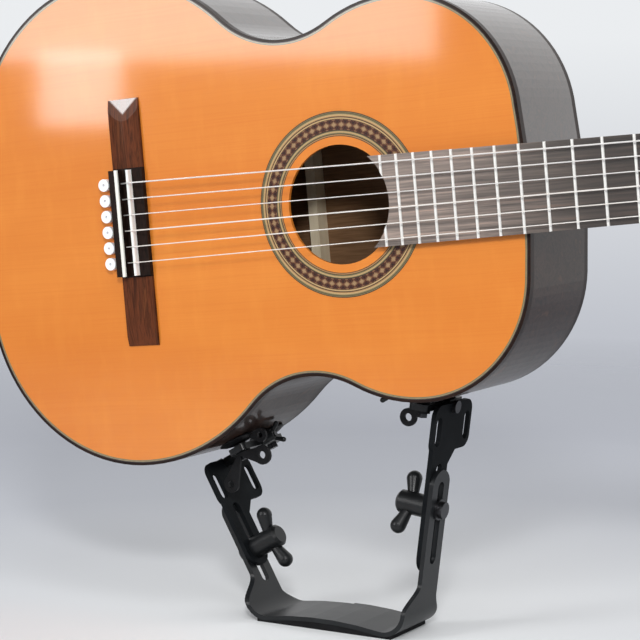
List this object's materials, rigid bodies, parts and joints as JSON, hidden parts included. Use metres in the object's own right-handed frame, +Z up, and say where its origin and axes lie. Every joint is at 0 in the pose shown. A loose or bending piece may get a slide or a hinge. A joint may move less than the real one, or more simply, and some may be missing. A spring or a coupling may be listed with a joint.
{
  "type": "guitar on support",
  "caption": "Classical guitar held upright by suction cups on a U-shaped ergonomic leg support with two clamped arms.",
  "frame": {"origin": "on the table, under the middle of the support's foot pad and in the middle plane of its arms", "axes": "+Z up, +X along the table towards the guitar's head, the soundboard faces -Y"},
  "size_m": [0.9957, 0.1153, 0.4894],
  "materials": {
    "cedar_top": "gloss",
    "dark_sides": "gloss",
    "lining_wood": "raw",
    "block_wood": "raw",
    "binding_wood": "gloss",
    "rosette_mosaic": "gloss",
    "neck_wood": "satin",
    "veneer_wood": "gloss",
    "fingerboard_wood": "satin",
    "fret_wire": "polished",
    "bone": "polished",
    "bridge_wood": "satin",
    "clear_nylon": "clear",
    "wound_string": "fine winding",
    "tuner_brass": "polished",
    "tuner_button": "pearl",
    "black_strip": "satin",
    "black_knob": "satin",
    "black_rubber": "matt",
    "dark_steel": "blackened"
  },
  "bodies": {
    "support": {"base_frame": "black_strip", "thigh_pad": "black_rubber", "clamp_bolts": "dark_steel"},
    "left_arm_set": {"left_arm": "black_strip", "left_cup_bracket": "black_knob", "left_cups": "black_rubber", "left_cup_studs": "dark_steel", "left_head_bolt": "dark_steel"},
    "right_arm_set": {"right_arm": "black_strip", "right_cup_bracket": "black_knob", "right_cups": "black_rubber", "right_cup_studs": "dark_steel", "right_head_bolt": "dark_steel"},
    "left_knob": {"left_wing_knob": "black_knob"},
    "right_knob": {"right_wing_knob": "black_knob"},
    "left_nut": {"left_head_nut": "black_knob"},
    "right_nut": {"right_head_nut": "black_knob"},
    "tuner_1": {"tuner_knob_1": "tuner_button"},
    "roller_1": {"tuner_roller_1": "tuner_button"},
    "tuner_2": {"tuner_knob_2": "tuner_button"},
    "roller_2": {"tuner_roller_2": "tuner_button"},
    "tuner_3": {"tuner_knob_3": "tuner_button"},
    "roller_3": {"tuner_roller_3": "tuner_button"},
    "tuner_4": {"tuner_knob_4": "tuner_button"},
    "roller_4": {"tuner_roller_4": "tuner_button"},
    "tuner_5": {"tuner_knob_5": "tuner_button"},
    "roller_5": {"tuner_roller_5": "tuner_button"},
    "tuner_6": {"tuner_knob_6": "tuner_button"},
    "roller_6": {"tuner_roller_6": "tuner_button"},
    "guitar": {"soundboard": "cedar_top", "back_plate": "dark_sides", "bass_side": "dark_sides", "treble_side": "dark_sides", "linings": "lining_wood", "neck_block": "block_wood", "tail_block": "block_wood", "soundboard_braces": "lining_wood", "back_braces": "lining_wood", "bindings": "binding_wood", "rosette": "rosette_mosaic", "neck": "neck_wood", "headstock": "neck_wood", "head_veneer": "veneer_wood", "fingerboard": "fingerboard_wood", "frets": "fret_wire", "nut": "bone", "bridge": "bridge_wood", "saddle": "bone", "tie_block_strip": "bone", "tie_beads": "bone", "string_1": "clear_nylon", "string_2": "clear_nylon", "string_3": "clear_nylon", "string_4": "wound_string", "string_5": "wound_string", "string_6": "wound_string", "bass_tuner_plate": "tuner_brass", "treble_tuner_plate": "tuner_brass", "tuner_screws": "tuner_brass"}
  },
  "joints": [
    {"name": "guitar_lift", "type": "slide", "parent": "support", "child": "guitar", "axis": [0, 0, 1], "range_m": [0, 0.1]},
    {"name": "left_arm_slide", "type": "slide", "parent": "support", "child": "left_arm_set", "axis": [-0.5, 0, 0.866], "range_m": [-0.015, 0]},
    {"name": "right_arm_slide", "type": "slide", "parent": "support", "child": "right_arm_set", "axis": [0.1219, 0, 0.9925], "range_m": [-0.015, 0]},
    {"name": "left_knob_turn", "type": "hinge", "parent": "support", "child": "left_knob", "pos_m": [-0.07714, 0, 0.04831], "axis": [0.866, 0, 0.5], "continuous": true},
    {"name": "right_knob_turn", "type": "hinge", "parent": "support", "child": "right_knob", "pos_m": [0.07532, 0, 0.09456], "axis": [-0.9925, 0, 0.1219], "continuous": true},
    {"name": "left_head_nut_turn", "type": "hinge", "parent": "left_arm_set", "child": "left_nut", "pos_m": [-0.06811, 0.0145, 0.13667], "axis": [0.866, 0, 0.5], "continuous": true},
    {"name": "right_head_nut_turn", "type": "hinge", "parent": "right_arm_set", "child": "right_nut", "pos_m": [0.03297, 0.0145, 0.17633], "axis": [-0.9925, 0, 0.1219], "continuous": true},
    {"name": "tuner_1_turn", "type": "hinge", "parent": "guitar", "child": "tuner_1", "pos_m": [0.54099, -0.0279, 0.33029], "axis": [0.2576, -0.9659, 0.0249], "continuous": true},
    {"name": "roller_1_turn", "type": "hinge", "parent": "guitar", "child": "roller_1", "pos_m": [0.54758, -0.02562, 0.35052], "axis": [0.0962, 0, -0.9954], "continuous": true},
    {"name": "tuner_2_turn", "type": "hinge", "parent": "guitar", "child": "tuner_2", "pos_m": [0.57464, -0.01884, 0.33354], "axis": [0.2576, -0.9659, 0.0249], "continuous": true},
    {"name": "roller_2_turn", "type": "hinge", "parent": "guitar", "child": "roller_2", "pos_m": [0.58123, -0.01657, 0.35377], "axis": [0.0962, 0, -0.9954], "continuous": true},
    {"name": "tuner_3_turn", "type": "hinge", "parent": "guitar", "child": "tuner_3", "pos_m": [0.60829, -0.00979, 0.33679], "axis": [0.2576, -0.9659, 0.0249], "continuous": true},
    {"name": "roller_3_turn", "type": "hinge", "parent": "guitar", "child": "roller_3", "pos_m": [0.61488, -0.00751, 0.35702], "axis": [0.0962, 0, -0.9954], "continuous": true},
    {"name": "tuner_4_turn", "type": "hinge", "parent": "guitar", "child": "tuner_4", "pos_m": [0.60069, -0.00979, 0.41542], "axis": [0.2576, -0.9659, 0.0249], "continuous": true},
    {"name": "roller_4_turn", "type": "hinge", "parent": "guitar", "child": "roller_4", "pos_m": [0.61103, -0.00751, 0.39683], "axis": [-0.0962, 0, 0.9954], "continuous": true},
    {"name": "tuner_5_turn", "type": "hinge", "parent": "guitar", "child": "tuner_5", "pos_m": [0.56704, -0.01884, 0.41217], "axis": [0.2576, -0.9659, 0.0249], "continuous": true},
    {"name": "roller_5_turn", "type": "hinge", "parent": "guitar", "child": "roller_5", "pos_m": [0.57738, -0.01657, 0.39358], "axis": [-0.0962, 0, 0.9954], "continuous": true},
    {"name": "tuner_6_turn", "type": "hinge", "parent": "guitar", "child": "tuner_6", "pos_m": [0.53339, -0.0279, 0.40892], "axis": [0.2576, -0.9659, 0.0249], "continuous": true},
    {"name": "roller_6_turn", "type": "hinge", "parent": "guitar", "child": "roller_6", "pos_m": [0.54373, -0.02562, 0.39033], "axis": [-0.0962, 0, 0.9954], "continuous": true}
  ],
  "couplings": [
    {"joint": "roller_1_turn", "follows": "tuner_1_turn", "ratio": 0.071429},
    {"joint": "roller_2_turn", "follows": "tuner_2_turn", "ratio": 0.071429},
    {"joint": "roller_3_turn", "follows": "tuner_3_turn", "ratio": 0.071429},
    {"joint": "roller_4_turn", "follows": "tuner_4_turn", "ratio": 0.071429},
    {"joint": "roller_5_turn", "follows": "tuner_5_turn", "ratio": 0.071429},
    {"joint": "roller_6_turn", "follows": "tuner_6_turn", "ratio": 0.071429}
  ]
}
